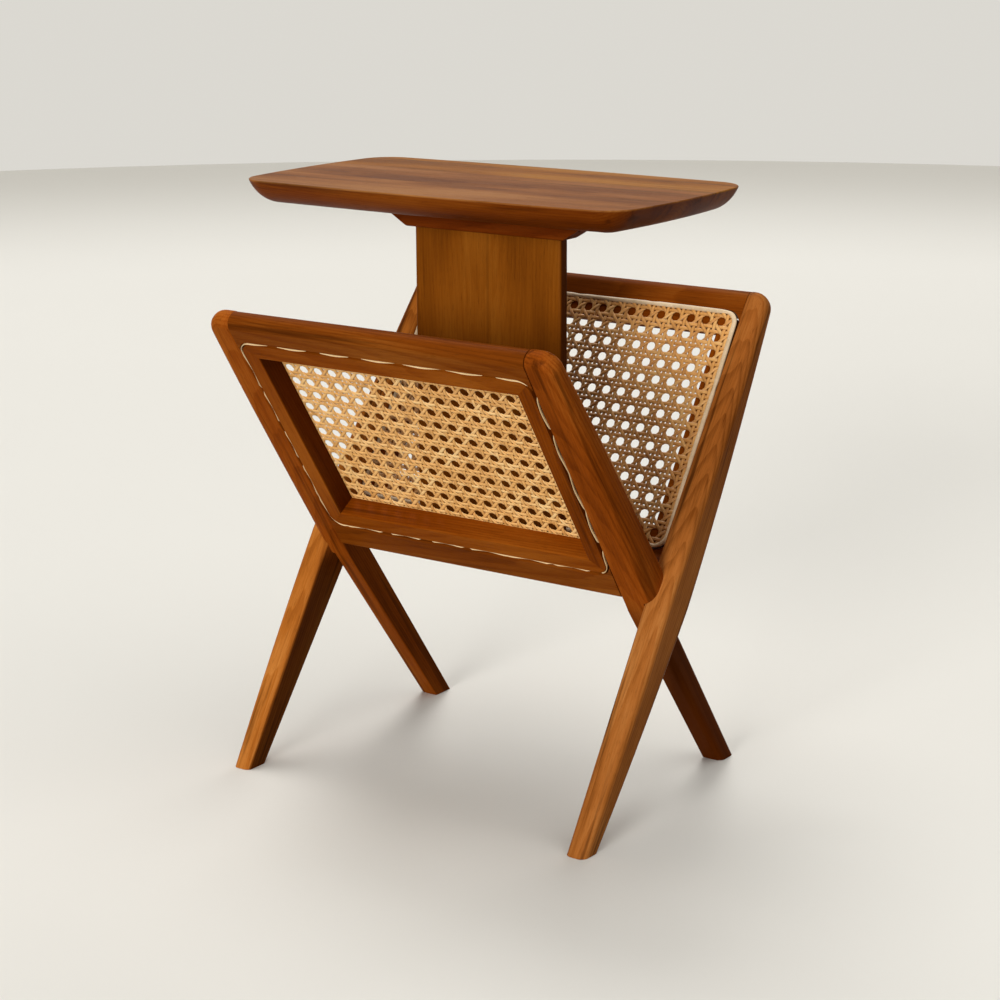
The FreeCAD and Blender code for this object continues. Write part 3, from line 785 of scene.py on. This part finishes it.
# the rear panel is tinted darker and has painted shade low on its left
cane = {"front": cane_finish("golden_cane", (1.0, 0.97, 0.92, 1.0), 0.0),
        "rear": cane_finish("darker_rear_cane", (0.77, 0.66, 0.50, 1.0), 0.6)}
print("cane finishes", [finish.name for finish in cane.values()])

# %% [markdown]
# ## Two woven panels
# The real sheet is woven flat, cut, and stretched over its frame, and the same is done here: weave, cut,
# tilt. The offsets place the lines of each panel, so that the weave meets the edges where the real one
# does. Each weave stands for the plain sheet with holes that the solids have.

# %% Weave both panels
random.seed(23)
WEAVE_OFFSETS = {"front": (0.79, 0.84), "rear": (0.31, 0.05)}
for panel in ("front", "rear"):
    tilt, half_width, half_height = panels[panel]
    bm = weave(panel, *WEAVE_OFFSETS[panel])
    trim(bm, half_width, half_height)
    bmesh.ops.transform(bm, matrix=tilt, verts=bm.verts)
    for face in bm.faces:
        face.smooth = True
    triangles = sum(len(face.verts) - 2 for face in bm.faces)
    woven = piece_from(bm, panel + "_woven_cane", cane[panel])
    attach(woven, "root")
    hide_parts(panel + "_cane_web")
    print(woven.name, "triangles", triangles)

# %% [markdown]
# ## Trim round the panels
# On the inside a pale binder covers the edge of the cane, and on the outside a thin reed lies in a
# groove. Both follow the same rounded rectangle. A curve object with a bevel could do it, but its
# section can't change along the way as simply as the rings of a swept mesh. Here spin draws the section
# along the straights and round the corners, and then each ring can be moved or squeezed.

# %% A sweep round a rounded rectangle
CORNER_STEPS = 10
MERGE_DISTANCE = 0.02 * MM


def sweep(bm, section, half_width, half_height, radius, step):
    """Sweeps a section, drawn at the middle of the bottom run, round the rectangle.

    Gives the rings in order: their vertices, how far along they lie, their middle and the way outwards.
    """
    rings = []
    straight = [half_width - radius, 2 * (half_height - radius), 2 * (half_width - radius),
                2 * (half_height - radius), half_width - radius]
    corners = [(half_width - radius, radius - half_height), (half_width - radius, half_height - radius),
               (radius - half_width, half_height - radius), (radius - half_width, radius - half_height)]
    verts = section
    edges = list({edge for vertex in verts for edge in vertex.link_edges})
    middle = Vector((0, -half_height, 0))
    ahead = Vector((1, 0, 0))
    travelled = 0.0
    rings.append((verts, travelled, middle.copy(), Vector((0, -1, 0))))
    for leg, length in enumerate(straight):
        steps = max(1, round(length / step))
        moves = [("run", ahead * (length / steps), None)] * steps
        if leg < len(corners):
            moves += [("turn", None, math.pi / 2 / CORNER_STEPS)] * CORNER_STEPS
        for kind, shift, angle in moves:
            centre = Vector((*corners[leg], 0)) if kind == "turn" else Vector((0, 0, 0))
            made = bmesh.ops.spin(bm, geom=verts + edges, cent=centre, axis=(0, 0, 1),
                                  dvec=shift or (0, 0, 0), angle=angle or 0.0, steps=1, use_merge=False,
                                  use_duplicate=False)["geom_last"]
            verts = [item for item in made if isinstance(item, bmesh.types.BMVert)]
            edges = [item for item in made if isinstance(item, bmesh.types.BMEdge)]
            if kind == "run":
                middle = middle + shift
                travelled += shift.length
            else:
                turn = Matrix.Rotation(angle, 3, "Z")
                middle = centre + turn @ (middle - centre)
                ahead = turn @ ahead
                travelled += radius * angle
            rings.append((verts, travelled, middle.copy(), Vector((ahead.y, -ahead.x, 0))))
    return rings


def round_section(bm, width, height, count, middle):
    """A closed oval ring across the bottom run, its width along the panel's y and its height along z."""
    ring = bmesh.ops.create_circle(bm, cap_ends=False, segments=count, radius=0.5)["verts"]
    bmesh.ops.rotate(bm, verts=ring, cent=(0, 0, 0), matrix=Matrix.Rotation(math.pi / 2, 3, "Y"))
    bmesh.ops.scale(bm, verts=ring, vec=(1, width, height))
    bmesh.ops.translate(bm, verts=ring, vec=middle)
    return ring


def finish_sweep(bm, tilt):
    """Joins the last ring to the first, turns the faces outwards and tilts the sweep into its panel."""
    bmesh.ops.remove_doubles(bm, verts=bm.verts, dist=MERGE_DISTANCE)
    bmesh.ops.recalc_face_normals(bm, faces=bm.faces)
    bmesh.ops.transform(bm, matrix=tilt, verts=bm.verts)
    for face in bm.faces:
        face.smooth = True


print("sweep ready")

# %% [markdown]
# ## Rattan
# The trim is rattan without its skin, so it is duller than the cane and has no coat. The binder is pale
# and the reed is golden. One finish with two pairs of colours serves both.

# %% Rattan finish
RATTAN_PATCH_LUMPS = (60, 60, 60)
RATTAN_FIBRE_LUMPS = (700, 700, 700)
RATTAN_DEPTH = 0.2 * MM


def rattan_finish(name, dull, pale):
    """Split rattan: pale, with fine fibres and a soft shine."""
    material, shader, spot = new_material(name)
    patch = spot.noise(RATTAN_PATCH_LUMPS, 3.0)
    fibre = spot.noise(RATTAN_FIBRE_LUMPS, 3.0, 0.6)
    colour = (patch * 0.7 + fibre * 0.4).ramp([(0.3, dull), (0.8, pale)])
    roughness = 0.45 + (fibre - 0.5) * 0.2
    feed(shader, Base_Color=colour, Roughness=roughness, Normal=fibre.bump(0.12, RATTAN_DEPTH))
    return material


binder_rattan = rattan_finish("pale_binder", (0.48, 0.34, 0.19), (0.76, 0.58, 0.37))
reed_rattan = rattan_finish("groove_reed", (0.74, 0.47, 0.20), (0.92, 0.69, 0.38))
print("rattan finishes", binder_rattan.name, reed_rattan.name)

# %% [markdown]
# ## Binder
# The binder is pressed over the edge of the cane in short lengths. An even bead would look moulded, so
# its rings are squeezed where two lengths meet, and the strip swings a little from side to side.

# %% Binder on the inside
BINDER_WIDTH = 4.6 * MM
BINDER_HEIGHT = 3.4 * MM
BINDER_LEVEL = 1.25 * MM
BINDER_LENGTH = 78.0 * MM
BINDER_SIDES = 12
BINDER_STEP = 4.0 * MM
PINCH = 0.28
PINCH_REACH = 7.0 * MM
BINDER_SWING = 0.25 * MM
BINDER_WAVE = 23.0 * MM


def make_binder(panel):
    """A rounded strip over the edge of the cane, pinched where its lengths meet."""
    tilt, half_width, half_height = panels[panel]
    bm = bmesh.new()
    start = (0, -half_height, BINDER_LEVEL)
    section = round_section(bm, BINDER_WIDTH, BINDER_HEIGHT, BINDER_SIDES, start)
    rings = sweep(bm, section, half_width, half_height, WEB_CORNER, BINDER_STEP)
    around = rings[-1][1]
    lengths = round(around / BINDER_LENGTH)
    for verts, travelled, middle, outwards in rings:
        to_joint = abs((travelled / around * lengths + 0.5) % 1.0 - 0.5) * around / lengths
        squeeze = 1 - PINCH * max(0.0, 1 - to_joint / PINCH_REACH)
        swing = BINDER_SWING * math.sin(travelled / BINDER_WAVE)
        for vertex in verts:
            offset = vertex.co - middle
            vertex.co = middle + offset * squeeze + outwards * swing
            vertex.co.z = BINDER_LEVEL + (offset.z - BINDER_LEVEL) * squeeze
    finish_sweep(bm, tilt)
    return piece_from(bm, panel + "_binder", binder_rattan)


for panel in ("front", "rear"):
    binder = make_binder(panel)
    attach(binder, "root")
    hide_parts(panel + "_cane_spline")
    print(binder.name, "faces", len(binder.data.polygons))

# %% [markdown]
# ## Reed
# The reed is thinner than its groove and lies loose in it, so it touches one wall and then the other,
# and sinks out of sight in places. The waves are a whole number, so that the end meets the start.

# %% Reed in the groove on the outside
GROOVE_WIDTH = 3.0 * MM
GROOVE_FACE = -21.0 * MM
REED_WIDTH = 1.0 * MM
REED_HEIGHT = 3.2 * MM
REED_SWING = 0.95 * MM
REED_WAVE = 47.0 * MM
REED_SINK = 7.0 * MM
REED_SIDES = 8
REED_STEP = 3.0 * MM
REED_RECESS = 0.3 * MM
SINK_START = 0.7
SINK_CHANGE = 0.25
SINK_CHANGES = 5


def make_reed(panel):
    """A thin reed that swings across the groove and sinks into it here and there."""
    tilt, half_width, half_height = panels[panel]
    middle_gap = GROOVE_WIDTH / 2
    bm = bmesh.new()
    start = (0, -half_height - middle_gap, GROOVE_FACE + REED_HEIGHT / 2 + REED_RECESS)
    section = round_section(bm, REED_WIDTH, REED_HEIGHT, REED_SIDES, start)
    rings = sweep(bm, section, half_width + middle_gap, half_height + middle_gap, WEB_CORNER + middle_gap,
                  REED_STEP)
    around = rings[-1][1]
    waves = round(around / REED_WAVE)
    for verts, travelled, _, outwards in rings:
        phase = 2 * math.pi * travelled / around
        swing = REED_SWING * math.cos(waves * phase)
        sunk = math.cos(waves * phase) - SINK_START + SINK_CHANGE * math.sin(SINK_CHANGES * phase)
        sink = REED_SINK * max(0.0, sunk)
        for vertex in verts:
            vertex.co += outwards * swing
            vertex.co.z += sink
    finish_sweep(bm, tilt)
    return piece_from(bm, panel + "_loose_reed", reed_rattan)


for panel in ("front", "rear"):
    reed = make_reed(panel)
    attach(reed, "root")
    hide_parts(panel + "_groove_reed")
    print(reed.name, "faces", len(reed.data.polygons))
